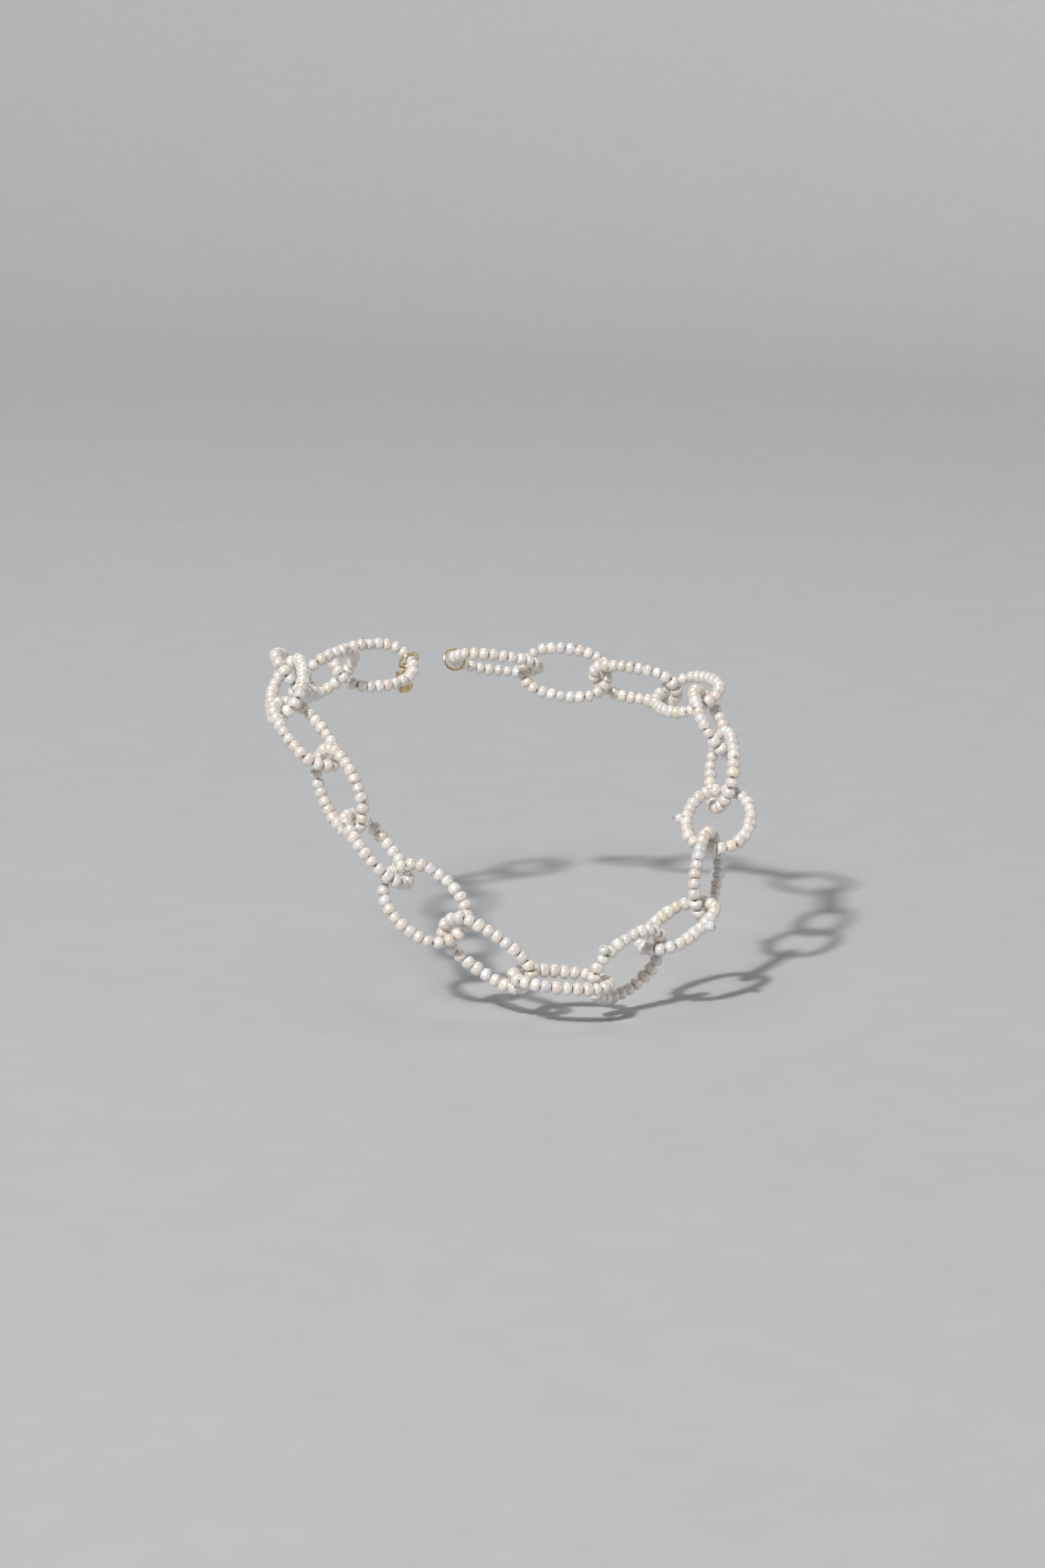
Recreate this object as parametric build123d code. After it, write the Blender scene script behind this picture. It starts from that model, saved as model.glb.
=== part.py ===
from build123d import *
import math
import os

# Chain necklace of interlinked pearl rings, draped as it is worn.
# Frame: millimetres, +Z up, the wearer looks along -Y, the origin is on the neck
# axis at the level of the nape.  The chain starts and ends at the nape (+Y).

os.makedirs("parts", exist_ok=True)

# ---------------------------------------------------------------- sizes
RING_COUNT = 20
PEARLS_PER_RING = 24
PEARL_ACROSS = 4.4        # across the strand
PEARL_LENGTH = 3.0        # along the drill hole
PEARL_PITCH = 3.45        # centre to centre along the stringing wire
DRILL_R = 0.45            # drill hole in a pearl
DRILL_RIM_R = 0.62        # small flat round the mouth of the hole
WIRE_R = 0.22             # stringing wire
TAIL_R = 0.19             # wire end that is twisted off
CURL_R = 0.45             # curl at the end of the wire
END_ROUND = 0.9           # end radius of an oval ring over half of its width
RING_PITCH = 25.9         # crossing to crossing along the chain
NAPE_ANGLE = -167.0       # where the chain starts, degrees from the front
SIZE_PATTERN = [1.0, 0.97, 0.99, 0.95, 1.0, 0.96, 0.98]

# Path of the chain round neck and chest: radius and height against the angle
RADIUS_COS = [77.5, 20.5, 3.0, 4.5, 1.0]
RADIUS_SIN = [5.0, -1.0]
HEIGHT_COS = [-21.0, -32.0, -18.0, -7.5]
HEIGHT_SIN = [-4.5, -1.5]
SHIFT_X = -2.5

# Small wander of the crossings off that path (crossing number: mm)
LIFT = {2: -1, 3: 3, 5: -1, 6: -1, 8: 1, 9: -2, 10: -1, 11: 2, 12: -1, 13: 1, 14: -2, 15: -2, 16: 1, 17: -1}
SIDE = {2: 2, 3: 1, 4: -3, 11: -2, 12: 1, 13: -1, 14: 1, 16: 1, 17: 3}

# Turn of each ring about its own length, degrees, 0 = lying flat on the skin
TURN = [0, -90, -15, -88, 25, -50, 22, -88, -27, 40, -35, 35, -60, 40, -35, -100, 5, -88, -12, 62]

# Space between two crossing strands, where it is more than the usual 0.6 mm
CROSSING_GAP = 0.6
WIDE_GAP = {3: 0.9, 4: 0.8, 7: 0.7, 8: 1.0, 9: 0.9, 10: 0.9, 12: 0.7, 13: 0.7, 15: 0.8, 16: 0.7, 17: 0.7}

# Where the wire of each ring is closed: pearl interval counted from the first end
CLOSURE_AT = [5, 5, 5, 11, 6, 9, 3, 0, 19, 0, 3, 6, 15, 18, 4, 5, 15, 5, 5, 5]
# Rings whose second wire end comes out apart from the first
SECOND_END = {12: 18, 13: 18}
# Rings whose wire end carries a small extra pearl
BUTTON_RINGS = [11, 12, 13, 14]
BUTTON_R = 1.45
BUTTON_LENGTH = 2.3
BUTTON_RISE = 0.8         # centre of the extra pearl beyond the edge of the strand

# Clasp
LINK_WIRE_R = 0.4         # jump ring and tail ring wire
LINK_R = 3.8              # jump ring and tail ring, to the wire centre
HANG = 0.9                # ring centre below the strand centre
CLAW_THICK = 2.2
CLAW_OUT_R = 3.7
CLAW_IN_R = 2.1
EYE_R = 1.35
EYE_WIRE_R = 0.45
CLAW_Y = -(EYE_R + 0.3 + CLAW_OUT_R)
PIN_R = 0.32
LEVER_THICK = 0.9
SLOT_WIDTH = 1.3
GATE_REACH = 3.45         # gate tip to pin
JAW_REACH = 3.62          # jaw tip to pin


# ---------------------------------------------------------------- path
def path_point(t):
    radius = sum(a * math.cos(i * t) for i, a in enumerate(RADIUS_COS))
    radius += sum(a * math.sin((i + 1) * t) for i, a in enumerate(RADIUS_SIN))
    height = sum(a * math.cos(i * t) for i, a in enumerate(HEIGHT_COS))
    height += sum(a * math.sin((i + 1) * t) for i, a in enumerate(HEIGHT_SIN))
    return Vector(radius * math.sin(t) + SHIFT_X, -radius * math.cos(t), height)


def crossings():
    """Points where neighbouring rings cross, at equal chords along the path."""
    t = math.radians(NAPE_ANGLE)
    points = [path_point(t)]
    for _ in range(RING_COUNT):
        low, high = t, t + 0.9
        for _ in range(50):
            mid = (low + high) / 2
            if (path_point(mid) - points[-1]).length < RING_PITCH:
                low = mid
            else:
                high = mid
        t = low
        points.append(path_point(t))
    for i in range(len(points)):
        points[i] = points[i] + Vector(SIDE.get(i, 0), 0, LIFT.get(i, 0))
    return points


# ---------------------------------------------------------------- oval ring
def oval(length, width):
    """End radius, side radius, half angle of a side arc, half length of the centres."""
    half = width / 2
    end_r = END_ROUND * half
    reach = length / 2 - end_r
    side_r = (reach ** 2 + half ** 2 - end_r ** 2) / (2 * (half - end_r))
    beta = math.atan2(reach, side_r - half)
    return end_r, side_r, beta, reach


def oval_length(length, width):
    end_r, side_r, beta, _ = oval(length, width)
    return 4 * side_r * beta + 4 * end_r * (math.pi / 2 - beta)


def oval_width(length):
    """Width that a ring of the full number of pearls takes when pulled to this length."""
    low, high = 6.0, length - 0.01
    for _ in range(60):
        mid = (low + high) / 2
        if oval_length(length, mid) < PEARLS_PER_RING * PEARL_PITCH:
            low = mid
        else:
            high = mid
    return low


def oval_point(length, width, step):
    """Point and direction on the centreline, `step` pearl pitches from the first end."""
    end_r, side_r, beta, reach = oval(length, width)
    end_arc = end_r * (math.pi / 2 - beta)
    quarter = end_arc + side_r * beta
    run = (step * 4 * quarter / PEARLS_PER_RING) % (4 * quarter)
    part = int(run // quarter + 1e-9) % 4
    rest = run - int(run // quarter + 1e-9) * quarter
    if part % 2 == 1:
        rest = quarter - rest
    if rest <= end_arc:
        angle = rest / end_r
        x, y = reach + end_r * math.cos(angle), end_r * math.sin(angle)
        dx, dy = -math.sin(angle), math.cos(angle)
    else:
        angle = beta - (rest - end_arc) / side_r
        x = side_r * math.sin(angle)
        y = side_r * math.cos(angle) - (side_r - width / 2)
        dx, dy = -math.cos(angle), math.sin(angle)
    sx = [1, -1, -1, 1][part]
    sy = [1, 1, -1, -1][part]
    fx = [1, 1, -1, -1][part]
    fy = [1, -1, -1, 1][part]
    return (x * sx, y * sy), (dx * fx, dy * fy)


def ring_layout():
    """Plane, length and width of every ring; x runs along the chain, backwards."""
    points = crossings()
    along = [(points[i + 1] - points[i]).normalized() for i in range(RING_COUNT)]
    rings = []
    for i in range(RING_COUNT):
        ends = []
        for j in (i, i + 1):
            reach = (PEARL_ACROSS + WIDE_GAP.get(j, CROSSING_GAP)) / 2
            if 0 < j < RING_COUNT:
                reach /= math.sqrt((1 + along[j - 1].dot(along[j])) / 2)
            ends.append(points[j] + along[i] * (reach if j > i else -reach))
        middle = (points[i] + points[i + 1]) * 0.5
        outward = Vector(middle.X, middle.Y, 0).normalized() * 0.8 + Vector(0, 0, 0.6)
        flat = (outward - along[i] * outward.dot(along[i])).normalized()
        side = along[i].cross(flat)
        turn = math.radians(TURN[i])
        across = flat * math.cos(turn) + side * math.sin(turn)
        length = (ends[1] - ends[0]).length
        plane = Plane(origin=(ends[0] + ends[1]) * 0.5, x_dir=along[i] * -1, z_dir=(along[i] * -1).cross(across))
        rings.append({"plane": plane, "length": length, "width": oval_width(length),
                      "first": ends[0], "last": ends[1], "across": across, "along": along[i]})
    return rings


# ---------------------------------------------------------------- pearls and wire
def pearl(across, length, drill_r=DRILL_R, rim_r=DRILL_RIM_R):
    """Drilled pearl, hole along Z."""
    r, h = across / 2, length / 2
    edge = Line((drill_r, -h), (rim_r, -h))
    edge += ThreePointArc((rim_r, -h), (r, 0), (rim_r, h))
    edge += Line((rim_r, h), (drill_r, h))
    edge += Line((drill_r, h), (drill_r, -h))
    face = Plane.XZ * make_face(edge)
    return revolve(face, Axis.Z, 360)


def closure(ring, interval):
    """Point, outward direction and travel direction where a wire end comes out."""
    (x, y), (dx, dy) = oval_point(ring["length"], ring["width"], interval + 0.5)
    return Vector(x, y, 0), Vector(dy, -dx, 0), Vector(dx, dy, 0)


def build_pearls(ring, number, stock):
    solids = []
    for i in range(PEARLS_PER_RING):
        (x, y), (dx, dy) = oval_point(ring["length"], ring["width"], i)
        seat = ring["plane"] * Plane(origin=(x, y, 0), x_dir=(0, 0, 1), z_dir=(dx, dy, 0))
        solids.append(seat * stock[(i * 3 + number * 2) % len(stock)])
    if number in BUTTON_RINGS:
        point, out, _ = closure(ring, CLOSURE_AT[number - 1])
        button = pearl(2 * BUTTON_R, BUTTON_LENGTH, drill_r=0.3, rim_r=0.45)
        seat = Plane(origin=point + out * (PEARL_ACROSS / 2 + BUTTON_RISE), x_dir=(0, 0, 1), z_dir=out)
        solids.append(ring["plane"] * seat * button)
    return Compound(children=[s if isinstance(s, Solid) else s.solid() for s in solids])


def arc_rod(centre, start, normal, radius, angle):
    """Round rod of wire bent to an arc: starts at `start`, turns about `normal`."""
    arm = start - centre
    tangent = normal.cross(arm)
    disc = Plane(origin=start, x_dir=arm, z_dir=tangent) * Circle(radius)
    return revolve(disc, Axis(tuple(centre), tuple(normal)), angle)


def build_wire(ring, number):
    """Closed stringing wire of four tangent arcs with one curled end."""
    end_r, side_r, beta, reach = oval(ring["length"], ring["width"])
    half = math.degrees(beta)
    up = Vector(0, 0, 1)
    drop = side_r - ring["width"] / 2
    rods = []
    for sign in (1, -1):
        centre = Vector(sign * reach, 0, 0)
        first = centre + Vector(sign * math.sin(beta), -sign * math.cos(beta), 0) * end_r
        rods.append(arc_rod(centre, first, up, WIRE_R, 180 - 2 * half))
        centre = Vector(0, -sign * drop, 0)
        first = centre + Vector(sign * math.sin(beta), sign * math.cos(beta), 0) * side_r
        rods.append(arc_rod(centre, first, up, WIRE_R, 2 * half))
    ends = [(CLOSURE_AT[number - 1], 0.1, 290)]
    if number in BUTTON_RINGS:
        ends = [(CLOSURE_AT[number - 1], BUTTON_RISE + BUTTON_LENGTH / 2 + 0.1, 180)]
    if number in SECOND_END:
        ends.append((SECOND_END[number], 0.1, 290))
    for interval, beyond, curl in ends:
        point, out, travel = closure(ring, interval)
        clear = PEARL_ACROSS / 2 + beyond
        tip = point + out * clear
        foot = Plane(origin=point, x_dir=travel, z_dir=out)
        rods.append(foot * Cylinder(TAIL_R, clear, align=(Align.CENTER, Align.CENTER, Align.MIN)))
        rods.append(arc_rod(tip + up * CURL_R, tip, travel * -1, TAIL_R, curl))
    wire = rods[0]
    for rod in rods[1:]:
        wire = wire + rod
    return ring["plane"] * wire


# ---------------------------------------------------------------- clasp
def hang_plane(point, across):
    """Plane of a small ring hanging on a strand: +Z along the strand, -Y hangs down."""
    down = Vector(0, 0, -1)
    down = (down - across * down.dot(across)).normalized()
    return Plane(origin=point + down * HANG, x_dir=across.cross(down), z_dir=across), down


def claw_plane(point, across):
    """Claw frame: origin in the eye, +Y up, +Z along the wire that carries it."""
    plane, down = hang_plane(point, across)
    foot = plane.origin + down * LINK_R
    wire_way = across.cross(down)
    return Plane(origin=foot, x_dir=Vector(0, 0, 1).cross(wire_way), z_dir=wire_way)


def build_link():
    return Torus(LINK_R, LINK_WIRE_R)


PIVOT = (-CLAW_OUT_R * 0.62, CLAW_Y + CLAW_OUT_R * 0.50)


def polar(radius, degrees):
    return (radius * math.cos(math.radians(degrees)), CLAW_Y + radius * math.sin(math.radians(degrees)))


def build_claw():
    """Hook of the lobster claw with its eye, slot and pin holes."""
    shape = Pos(0, CLAW_Y, 0) * Cylinder(CLAW_OUT_R, CLAW_THICK)
    shape = shape - Pos(0, CLAW_Y, 0) * Cylinder(CLAW_IN_R, CLAW_THICK + 1)
    # mouth of the hook on the -X side
    mouth = Polyline([(0, CLAW_Y), polar(9, 166), polar(9, 205), polar(9, 262), (0, CLAW_Y)])
    reach = Pos(PIVOT[0], PIVOT[1], 0) * Cylinder(JAW_REACH, 2 * CLAW_THICK)
    shape = shape - (extrude(make_face(mouth), CLAW_THICK, both=True) & reach)
    # cheeks that hold the pin
    shape = shape + Pos(PIVOT[0], PIVOT[1], 0) * Cylinder(1.15, CLAW_THICK)
    slot = Pos(PIVOT[0] - 0.9, PIVOT[1] - 0.5, 0) * Box(3.9, 3.4, SLOT_WIDTH)
    shape = shape - slot
    shape = shape - Pos(PIVOT[0], PIVOT[1], 0) * Cylinder(PIN_R, CLAW_THICK + 1)
    # eye at the top
    shape = shape + Torus(EYE_R, EYE_WIRE_R)
    shape = shape + Pos(0, -(EYE_R + 0.35), 0) * Cylinder(0.62, 1.5)
    return shape


def build_lever():
    """Gate of the claw, pivoting on the pin, with a thumb tab outside."""
    gate = Pos(0, CLAW_Y, 0) * Cylinder(CLAW_OUT_R - 0.35, LEVER_THICK)
    gate = gate - Pos(0, CLAW_Y, 0) * Cylinder(CLAW_IN_R + 0.25, LEVER_THICK + 1)
    keep = Polyline([(0, CLAW_Y), polar(9, 153), polar(9, 205), polar(9, 262), (0, CLAW_Y)])
    gate = gate & extrude(make_face(keep), CLAW_THICK, both=True)
    gate = gate & Pos(PIVOT[0], PIVOT[1], 0) * Cylinder(GATE_REACH, CLAW_THICK)
    gate = gate + Pos(PIVOT[0], PIVOT[1], 0) * Cylinder(0.8, LEVER_THICK)
    tab = Polyline([(PIVOT[0] - 0.5, PIVOT[1] - 0.6), (PIVOT[0] + 0.1, PIVOT[1] + 0.6),
                    (PIVOT[0] - 2.0, PIVOT[1] + 1.5), (PIVOT[0] - 2.5, PIVOT[1] + 0.9),
                    (PIVOT[0] - 0.5, PIVOT[1] - 0.6)])
    gate = gate + extrude(make_face(tab), LEVER_THICK / 2, both=True)
    return gate - Pos(PIVOT[0], PIVOT[1], 0) * Cylinder(PIN_R + 0.14, LEVER_THICK + 1)


def build_pin():
    return Pos(PIVOT[0], PIVOT[1], 0) * Cylinder(PIN_R - 0.01, CLAW_THICK)


def build_spring():
    """Bent spring wire lying in the slot behind the gate."""
    centre = Vector(PIVOT[0] - 0.1, PIVOT[1], 0)
    return arc_rod(centre, centre + Vector(1.0, 0.3, 0), Vector(0, 0, -1), 0.12, 55)


# ---------------------------------------------------------------- build
def main():
    rings = ring_layout()
    stock = [pearl(PEARL_ACROSS * s, PEARL_LENGTH * (2 * s - 1)) for s in SIZE_PATTERN]
    for number, ring in enumerate(rings, start=1):
        export_step(build_pearls(ring, number, stock), f"parts/link_{number:02d}_pearls.step")
        export_step(build_wire(ring, number), f"parts/link_{number:02d}_wire.step")
    seat, _ = hang_plane(rings[0]["first"], rings[0]["across"])
    export_step(seat * build_link(), "parts/claw_jump_ring.step")
    claw = claw_plane(rings[0]["first"], rings[0]["across"])
    export_step(claw * build_claw(), "parts/claw_body.step")
    export_step(claw * build_lever(), "parts/claw_lever.step")
    export_step(claw * build_pin(), "parts/claw_pin.step")
    export_step(claw * build_spring(), "parts/claw_spring.step")
    seat, _ = hang_plane(rings[-1]["last"], rings[-1]["across"])
    export_step(seat * build_link(), "parts/tail_ring.step")


if __name__ == "__main__":
    main()
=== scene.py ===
import math
import random

import bmesh
import bpy
import numpy as np
from mathutils import Matrix, Vector


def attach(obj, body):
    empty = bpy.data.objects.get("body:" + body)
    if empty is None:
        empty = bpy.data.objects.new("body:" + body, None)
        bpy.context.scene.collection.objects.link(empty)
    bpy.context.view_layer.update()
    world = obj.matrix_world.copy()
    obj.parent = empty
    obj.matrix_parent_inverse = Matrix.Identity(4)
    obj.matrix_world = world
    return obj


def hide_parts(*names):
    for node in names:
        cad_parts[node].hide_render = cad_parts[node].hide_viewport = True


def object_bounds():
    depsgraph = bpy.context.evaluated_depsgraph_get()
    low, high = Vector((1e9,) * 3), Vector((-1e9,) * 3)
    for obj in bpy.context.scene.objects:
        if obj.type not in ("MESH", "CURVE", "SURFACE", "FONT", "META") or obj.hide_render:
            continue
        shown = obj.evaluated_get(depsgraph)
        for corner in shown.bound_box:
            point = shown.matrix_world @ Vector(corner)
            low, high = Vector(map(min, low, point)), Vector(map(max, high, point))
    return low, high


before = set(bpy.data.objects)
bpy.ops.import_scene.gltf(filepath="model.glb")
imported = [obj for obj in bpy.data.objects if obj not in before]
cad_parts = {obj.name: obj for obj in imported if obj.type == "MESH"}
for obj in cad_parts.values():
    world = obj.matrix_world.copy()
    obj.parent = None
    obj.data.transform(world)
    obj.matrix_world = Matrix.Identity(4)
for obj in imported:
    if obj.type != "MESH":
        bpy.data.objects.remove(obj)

CAD_BOX = [list(v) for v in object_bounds()]
MM = 0.001
RING_COUNT = 20
SEED = 20                  # each ring draws its pearls from SEED + its number


# ------------------------------------------------------------ node helpers
def new_material(name):
    mat = bpy.data.materials.new(name)
    mat.use_nodes = True
    tree = mat.node_tree
    bsdf = tree.nodes["Principled BSDF"]
    return mat, tree, bsdf


def add(tree, kind, **values):
    node = tree.nodes.new(kind)
    for key, value in values.items():
        if key in node.inputs:
            node.inputs[key].default_value = value
        else:
            setattr(node, key, value)
    return node


def link(tree, a, b):
    tree.links.new(a, b)


def noise(tree, coords, scale, detail=3.0, rough=0.5):
    node = add(tree, "ShaderNodeTexNoise", Scale=scale, Detail=detail, Roughness=rough)
    link(tree, coords, node.inputs["Vector"])
    return node


def ramp(tree, value, stops):
    node = tree.nodes.new("ShaderNodeValToRGB")
    el = node.color_ramp.elements
    while len(el) < len(stops):
        el.new(0.5)
    for e, (pos, col) in zip(el, stops):
        e.position = pos
        e.color = (*col, 1.0)
    link(tree, value, node.inputs["Fac"])
    return node


def mix(tree, fac, a, b, mode="MIX"):
    node = tree.nodes.new("ShaderNodeMix")
    node.data_type = "RGBA"
    node.blend_type = mode
    for sock, val in ((node.inputs[0], fac), (node.inputs[6], a), (node.inputs[7], b)):
        if isinstance(val, (int, float)):
            sock.default_value = val
        elif isinstance(val, tuple):
            sock.default_value = (*val, 1.0)
        else:
            link(tree, val, sock)
    return node.outputs[2]


def bump(tree, height, strength, distance, normal=None):
    node = add(tree, "ShaderNodeBump", Strength=strength, Distance=distance)
    link(tree, height, node.inputs["Height"])
    if normal is not None:
        link(tree, normal, node.inputs["Normal"])
    return node.outputs["Normal"]


# ------------------------------------------------------------ materials
def nacre_material():
    """Freshwater nacre: body colour per pearl, cloudy overtones, growth lines, painted shade at the
    drill hole.
    """
    mat, tree, bsdf = new_material("nacre")
    coords = add(tree, "ShaderNodeTexCoord").outputs["Object"]
    body = add(tree, "ShaderNodeAttribute", attribute_name="body_tint").outputs["Color"]
    mouth = add(tree, "ShaderNodeAttribute", attribute_name="mouth").outputs["Fac"]
    band = add(tree, "ShaderNodeAttribute", attribute_name="growth").outputs["Fac"]
    cloud = noise(tree, coords, 620.0, 3.0, 0.55)
    over = ramp(tree, cloud.outputs["Fac"], [
        (0.28, (0.86, 0.78, 0.73)), (0.44, (0.97, 0.94, 0.91)),
        (0.58, (0.97, 0.97, 0.95)), (0.74, (0.89, 0.93, 0.98))])
    colour = mix(tree, 0.75, body, over.outputs["Color"], "MULTIPLY")
    fleck = noise(tree, coords, 1900.0, 2.0, 0.6)
    spots = ramp(tree, fleck.outputs["Fac"], [
        (0.30, (0.80, 0.68, 0.55)), (0.40, (1.0, 1.0, 1.0))])
    colour = mix(tree, 0.35, colour, spots.outputs["Color"], "MULTIPLY")
    colour = mix(tree, 1.0, colour, (0.95, 0.93, 0.91), "MULTIPLY")
    # painted shade: the drill hole's mouth and inside blend to dark brown
    colour = mix(tree, mouth, colour, (0.30, 0.19, 0.10))
    link(tree, colour, bsdf.inputs["Base Color"])
    rough = ramp(tree, cloud.outputs["Fac"], [
        (0.3, (0.36, 0.36, 0.36)), (0.7, (0.26, 0.26, 0.26))])
    link(tree, rough.outputs["Color"], bsdf.inputs["Roughness"])
    bsdf.inputs["IOR"].default_value = 1.56
    bsdf.inputs["Metallic"].default_value = 0.20
    bsdf.inputs["Coat Weight"].default_value = 1.0
    bsdf.inputs["Coat Roughness"].default_value = 0.12
    bsdf.inputs["Coat IOR"].default_value = 1.62
    bsdf.inputs["Subsurface Weight"].default_value = 0.20
    bsdf.inputs["Subsurface Scale"].default_value = 0.0012
    bsdf.inputs["Subsurface Radius"].default_value = (1.0, 0.55, 0.38)
    bsdf.inputs["Sheen Weight"].default_value = 0.08
    bsdf.inputs["Sheen Roughness"].default_value = 0.35
    pits = noise(tree, coords, 1400.0, 4.0, 0.6)
    normal = bump(tree, pits.outputs["Fac"], 0.10, 0.00010)
    normal = bump(tree, band, 0.30, 0.00010, normal)
    link(tree, normal, bsdf.inputs["Normal"])
    return mat


def metal_material(name, colour, dark, rough, scratch_scale=900.0):
    """Polished metal with handling wear, faint scratches and tarnish in patches."""
    mat, tree, bsdf = new_material(name)
    coords = add(tree, "ShaderNodeTexCoord").outputs["Object"]
    stretch = add(tree, "ShaderNodeMapping")
    stretch.inputs["Scale"].default_value = (1.0, 6.0, 1.0)
    link(tree, coords, stretch.inputs["Vector"])
    patches = noise(tree, coords, 350.0, 4.0, 0.6)
    tone = ramp(tree, patches.outputs["Fac"], [(0.35, dark), (0.55, colour)])
    link(tree, tone.outputs["Color"], bsdf.inputs["Base Color"])
    lines = noise(tree, stretch.outputs["Vector"], scratch_scale, 5.0, 0.65)
    span = ramp(tree, lines.outputs["Fac"], [(0.3, (rough * 0.7,) * 3), (0.7, (rough * 1.7,) * 3)])
    link(tree, span.outputs["Color"], bsdf.inputs["Roughness"])
    bsdf.inputs["Metallic"].default_value = 1.0
    normal = bump(tree, lines.outputs["Fac"], 0.12, 0.00004)
    link(tree, normal, bsdf.inputs["Normal"])
    return mat


NACRE = nacre_material()
WIRE = metal_material("stringing_wire", (0.80, 0.72, 0.60), (0.42, 0.33, 0.24), 0.24)
GOLD = metal_material("clasp_gold", (0.90, 0.70, 0.40), (0.55, 0.38, 0.18), 0.20)
STEEL = metal_material("spring_steel", (0.62, 0.62, 0.64), (0.36, 0.36, 0.38), 0.28)


# ------------------------------------------------------------ pearls
def islands(obj):
    """Vertex sets of the separate solids of one CAD node."""
    mesh = obj.data
    n = len(mesh.vertices)
    pts = np.empty(n * 3)
    mesh.vertices.foreach_get("co", pts)
    pts = pts.reshape(n, 3)
    key = np.round(pts / 2e-6).astype(np.int64)
    _, same = np.unique(key, axis=0, return_inverse=True)
    same = same.ravel()
    count = same.max() + 1
    edges = np.empty(len(mesh.edges) * 2, dtype=np.int64)
    mesh.edges.foreach_get("vertices", edges)
    ea, eb = same[edges[0::2]], same[edges[1::2]]
    label = np.arange(count)
    while True:
        low = np.minimum(label[ea], label[eb])
        new = label.copy()
        np.minimum.at(new, ea, low)
        np.minimum.at(new, eb, low)
        new = new[new]
        if np.array_equal(new, label):
            break
        label = new
    where = label[same]
    return [pts[where == v] for v in np.unique(where)]


def seat_of(points):
    """Centre, hole axis, radius across and half length of one drilled pearl."""
    points = np.unique(np.round(points, 7), axis=0)
    centre = (points.min(0) + points.max(0)) / 2
    best = None
    for _ in range(3):
        rel = points - centre
        _, vecs = np.linalg.eigh(rel.T @ rel)
        options = []
        for k in range(3):
            axis = vecs[:, k]
            along = rel @ axis
            off = np.linalg.norm(rel - np.outer(along, axis), axis=1)
            options.append((off.min(), k, axis, along, off))
        # the hole axis is the one no point comes near to
        best = max(options, key=lambda o: o[0])
        axis, along, off = best[2], best[3], best[4]
        centre = centre + axis * (along.max() + along.min()) / 2
    return centre, axis, off.max(), (along.max() - along.min()) / 2


TINTS = [
    (0.93, 0.90, 0.87), (0.95, 0.93, 0.91), (0.92, 0.86, 0.82), (0.90, 0.90, 0.91),
    (0.95, 0.91, 0.86), (0.93, 0.88, 0.86), (0.89, 0.90, 0.94), (0.96, 0.95, 0.93),
    (0.93, 0.86, 0.76), (0.94, 0.91, 0.89), (0.90, 0.87, 0.85), (0.95, 0.94, 0.94),
]
HOLE_RADIUS = 0.30 * MM
MOST_RADIUS = 2.40 * MM     # the widest a pearl may grow, so that crossing rings stay apart
LONGER = 0.30 * MM          # each end reaches this much further, to meet its neighbour
WIDER = (0.99, 1.12)        # share of the CAD radius, drawn for each pearl
BUTTON_MOST = 1.7 * MM      # a CAD pearl below this radius is the small one over a closure
BUTTON_WIDER = 1.22
BUTTON_SHIFT = {11: 0.2, 12: 0.2, 13: 0.2, 14: -0.5}    # mm outwards from the ring, by ring
LEAN = 0.20                 # radians off the strand
MOUTH_SHADE = 0.34 * MM     # how far the painted shade at the hole's mouth spreads
LOBES = ((1, 0.045), (2, 0.065), (3, 0.045), (5, 0.018))    # waves round the pearl, amplitude
AROUND = 26                 # points round a pearl
ALONG = 17                  # rows of points from mouth to mouth
TUNNEL = (-0.86, -0.3, 0.3, 0.86)                       # rows inside the hole


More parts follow.
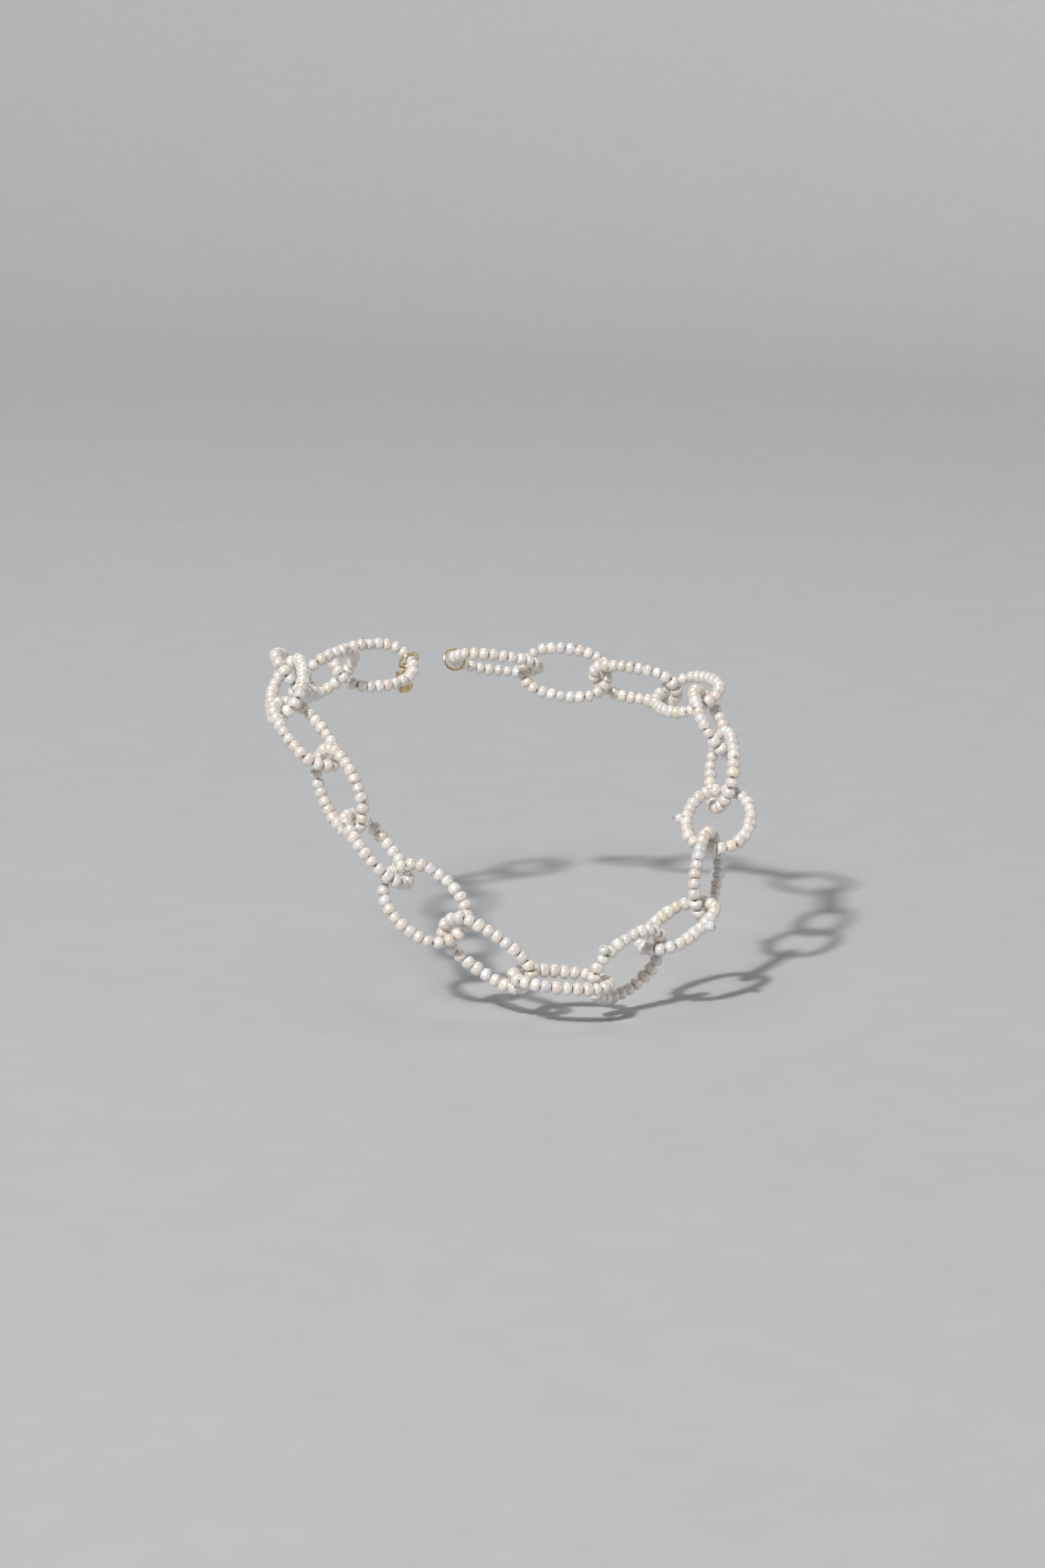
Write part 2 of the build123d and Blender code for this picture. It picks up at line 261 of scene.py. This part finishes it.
def pearl_rows(rng, centre, axis, radius, half, button):
    """One uneven drilled pearl: rows of points from mouth to mouth and back through the hole."""
    centre = Vector(centre)
    axis = Vector(axis).normalized()
    side = axis.orthogonal().normalized()
    lean = Matrix.Rotation(rng.uniform(-LEAN, LEAN), 3, side)
    lean = lean @ Matrix.Rotation(rng.uniform(-LEAN, LEAN), 3, axis.cross(side))
    axis = (lean @ axis).normalized()
    side = (lean @ side).normalized()
    turn = rng.uniform(0, 2 * math.pi)
    side = Matrix.Rotation(turn, 3, axis) @ side
    up = axis.cross(side)
    hole = HOLE_RADIUS
    reach = half + LONGER
    radius = radius * (BUTTON_WIDER if button else rng.uniform(*WIDER))
    ratio = rng.uniform(0.93, 1.0)
    taper = rng.uniform(-0.10, 0.10)
    power = rng.uniform(2.1, 2.8)
    lobes = [(k, rng.uniform(0, 2 * math.pi), rng.uniform(0.2, 1.0) * a)
             for k, a in LOBES]
    tilt = rng.uniform(-0.16, 0.16)
    tilt_at = rng.uniform(0, 2 * math.pi)
    flat_at = rng.uniform(0, 2 * math.pi)
    flat_cut = rng.uniform(0.88, 1.35)
    waist = rng.choice((0.0, 0.0, 0.04, 0.08))
    waist_at = rng.uniform(-0.35, 0.35)
    dents = [(rng.uniform(0, 2 * math.pi), rng.uniform(-0.7, 0.7),
              rng.uniform(0.02, 0.05), rng.uniform(0.25, 0.5))
             for _ in range(rng.choice((1, 2, 3)))]
    phase = rng.uniform(0, 6.28)
    rows = []
    start = math.asin(min(0.98, (hole / radius) * 1.2))
    for i in range(ALONG):
        lat = start + (math.pi - 2 * start) * i / (ALONG - 1)
        s, c = math.sin(lat), math.cos(lat)
        row = []
        for j in range(AROUND):
            a = 2 * math.pi * j / AROUND
            r = (abs(s) ** (2 / power)) * radius
            h = math.copysign(abs(c) ** (2 / power), c) * reach
            f = 1.0
            for k, ph, amp in lobes:
                f += amp * math.cos(k * a + ph)
            f *= 1 + taper * c
            f -= waist * math.exp(-((c - waist_at) / 0.13) ** 2)
            for da, dc, depth, wide in dents:
                d = math.atan2(math.sin(a - da), math.cos(a - da))
                f -= depth * math.exp(-(d * d + (c - dc) ** 2) / (wide * wide))
            blend = s * s
            r = r * (1 + (f - 1) * blend)
            cut = flat_cut * radius
            out = r * math.cos(a - flat_at)
            if out > cut:
                r = cut / math.cos(a - flat_at)
            h += tilt * r * math.cos(a - tilt_at) * (1 - abs(c)) * 0.6
            r = min(max(r, hole * 1.2), MOST_RADIUS)
            if i in (0, ALONG - 1):
                r = hole * 1.25
            p = centre + axis * h + side * (r * math.cos(a)) * ratio + up * (r * math.sin(a))
            grow = 0.5 + 0.5 * math.sin(c * 9 + phase + 0.8 * math.sin(a + phase))
            # painted shade, darkest at the hole's edge and fading outwards
            dark = max(0.0, 1 - (r - hole) / MOUTH_SHADE) ** 1.6 * 0.75
            row.append((p, dark, grow))
        rows.append(row)
    for share in TUNNEL:
        row = []
        for j in range(AROUND):
            a = 2 * math.pi * j / AROUND
            p = (centre + axis * (reach * share)
                 + side * (hole * math.cos(a)) + up * (hole * math.sin(a)))
            # painted shade: the inside of the hole fully darkened
            row.append((p, 1.0, 0.5))
        rows.append(row)
    return rows


def build_link(number):
    """The pearls of one ring as one piece, each pearl seated on its CAD solid."""
    name = f"link_{number:02d}"
    rng = random.Random(SEED + number)
    verts, faces, dark, grow, tint = [], [], [], [], []
    solids = islands(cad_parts[name + "_pearls"])
    middle = np.concatenate(solids).mean(0)
    for points in solids:
        centre, axis, radius, half = seat_of(points)
        button = radius < BUTTON_MOST
        if button:
            outward = centre - middle
            centre = centre + outward * (BUTTON_SHIFT[number] * MM / np.linalg.norm(outward))
        rows = pearl_rows(rng, centre, axis, radius, half, button)
        base = rng.choice(TINTS)
        shade = rng.uniform(0.95, 1.03)
        base = tuple(min(1.0, v * shade) for v in base)
        first = len(verts)
        for row in rows:
            for p, d, g in row:
                verts.append(p)
                dark.append(d)
                grow.append(g)
                tint.append((*base, 1.0))
        count = len(rows)
        for i in range(count):
            k = (i + 1) % count
            for j in range(AROUND):
                m = (j + 1) % AROUND
                faces.append((first + i * AROUND + j, first + i * AROUND + m,
                              first + k * AROUND + m, first + k * AROUND + j))
    mesh = bpy.data.meshes.new(name + "_nacre")
    mesh.from_pydata(verts, [], faces)
    mesh.update()
    for key, kind, values in (("mouth", "FLOAT", dark), ("growth", "FLOAT", grow)):
        layer = mesh.attributes.new(key, kind, "POINT")
        layer.data.foreach_set("value", values)
    layer = mesh.attributes.new("body_tint", "FLOAT_COLOR", "POINT")
    layer.data.foreach_set("color", [v for t in tint for v in t])
    mesh.polygons.foreach_set("use_smooth", [True] * len(mesh.polygons))
    mesh.materials.append(NACRE)
    obj = bpy.data.objects.new(name + "_nacre", mesh)
    bpy.context.scene.collection.objects.link(obj)
    bm = bmesh.new()
    bm.from_mesh(mesh)
    bmesh.ops.recalc_face_normals(bm, faces=bm.faces)
    bm.to_mesh(mesh)
    bm.free()
    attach(obj, name)
    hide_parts(name + "_pearls")


for number in range(1, RING_COUNT + 1):
    build_link(number)

for key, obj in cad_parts.items():
    if key.endswith("_pearls"):
        continue
    if key.endswith("_wire"):
        mat = WIRE
    elif key in ("claw_spring", "claw_pin"):
        mat = STEEL
    else:
        mat = GOLD
    obj.data.materials.clear()
    obj.data.materials.append(mat)


# ------------------------------------------------------------ stage
FLOOR_GAP = 4 * MM          # floor to the lowest pearl
FLOOR_Z = CAD_BOX[0][2] - FLOOR_GAP


def stage_floor():
    """Pale floor that curves up into a round backdrop on every side."""
    mat, tree, bsdf = new_material("pale_floor")
    coords = add(tree, "ShaderNodeTexCoord").outputs["Object"]
    grain = noise(tree, coords, 60.0, 4.0, 0.5)
    tone = ramp(tree, grain.outputs["Fac"], [
        (0.3, (0.50, 0.505, 0.515)), (0.7, (0.52, 0.525, 0.535))])
    link(tree, tone.outputs["Color"], bsdf.inputs["Base Color"])
    bsdf.inputs["Roughness"].default_value = 0.85
    flat, bend, around = 2.5, 2.5, 72
    profile = [(0.0, 0.0), (flat, 0.0)]
    profile += [(flat + bend * math.sin(a), bend - bend * math.cos(a))
                for a in (math.radians(6 * k) for k in range(1, 16))]
    verts = [(0.0, 0.0, FLOOR_Z)]
    for r, z in profile[1:]:
        verts += [(r * math.cos(2 * math.pi * k / around),
                   r * math.sin(2 * math.pi * k / around), FLOOR_Z + z) for k in range(around)]
    faces = [(0, 1 + k, 1 + (k + 1) % around) for k in range(around)]
    for i in range(len(profile) - 2):
        a, b = 1 + i * around, 1 + (i + 1) * around
        faces += [(a + k, b + k, b + (k + 1) % around, a + (k + 1) % around)
                  for k in range(around)]
    mesh = bpy.data.meshes.new("floor")
    mesh.from_pydata(verts, [], faces)
    mesh.polygons.foreach_set("use_smooth", [True] * len(mesh.polygons))
    mesh.materials.append(mat)
    floor = bpy.data.objects.new("floor", mesh)
    bpy.context.scene.collection.objects.link(floor)


stage_floor()


def area_light(name, at, target, size, power, colour=(1.0, 1.0, 1.0)):
    data = bpy.data.lights.new(name, "AREA")
    data.shape = "RECTANGLE"
    data.size, data.size_y = size
    data.energy = power
    data.color = colour
    obj = bpy.data.objects.new(name, data)
    obj.location = at
    obj.rotation_euler = (Vector(target) - Vector(at)).to_track_quat("-Z", "Y").to_euler()
    bpy.context.scene.collection.objects.link(obj)


def sun_light(name, towards, strength, angle, colour):
    data = bpy.data.lights.new(name, "SUN")
    data.energy = strength
    data.angle = math.radians(angle)
    data.color = colour
    obj = bpy.data.objects.new(name, data)
    obj.rotation_euler = (-Vector(towards)).to_track_quat("-Z", "Y").to_euler()
    bpy.context.scene.collection.objects.link(obj)


MIDDLE = (0.0, -0.03, -0.02)
sun_light("sun", (-0.78, -0.62, 0.86), 2.35, 4.0, (1.0, 0.99, 0.97))
area_light("key", (-0.95, -0.95, 1.15), MIDDLE, (0.30, 0.30), 7.0, (1.0, 0.99, 0.975))
area_light("fill", (1.25, -0.85, 0.45), MIDDLE, (1.0, 1.0), 2.0, (0.94, 0.97, 1.0))
area_light("top", (0.1, 0.75, 1.5), MIDDLE, (1.0, 1.0), 4.0)

world = bpy.data.worlds.new("studio")
world.use_nodes = True
world.node_tree.nodes["Background"].inputs["Color"].default_value = (0.80, 0.82, 0.85, 1.0)
world.node_tree.nodes["Background"].inputs["Strength"].default_value = 0.24
bpy.context.scene.world = world


# ------------------------------------------------------------ camera
def stage_camera():
    """85 mm camera in front of the necklace, a little above it and to one side (sizes in mm)."""
    azimuth, elevation, roll = -0.3195077, 0.1940124, 0.0331955
    shift_x, shift_y, distance = -10.0386, 73.4300, 1270.2
    neck_up = 40.0
    back = Vector((math.sin(azimuth) * math.cos(elevation),
                   -math.cos(azimuth) * math.cos(elevation), math.sin(elevation)))
    right = Vector((math.cos(azimuth), math.sin(azimuth), 0.0))
    up = back.cross(right)
    right, up = (right * math.cos(roll) + up * math.sin(roll),
                 up * math.cos(roll) - right * math.sin(roll))
    at = (back * distance - right * shift_x - up * shift_y + Vector((0, 0, neck_up))) * MM
    data = bpy.data.cameras.new("camera")
    data.sensor_fit = "VERTICAL"
    data.sensor_height = 36.0
    data.lens = 85.0
    data.clip_start = 0.01
    data.clip_end = 50.0
    obj = bpy.data.objects.new("camera", data)
    turn = Matrix((right, up, back)).transposed().to_4x4()
    obj.matrix_world = Matrix.Translation(at) @ turn
    bpy.context.scene.collection.objects.link(obj)
    bpy.context.scene.camera = obj


stage_camera()

bpy.context.scene.view_settings.view_transform = "Standard"
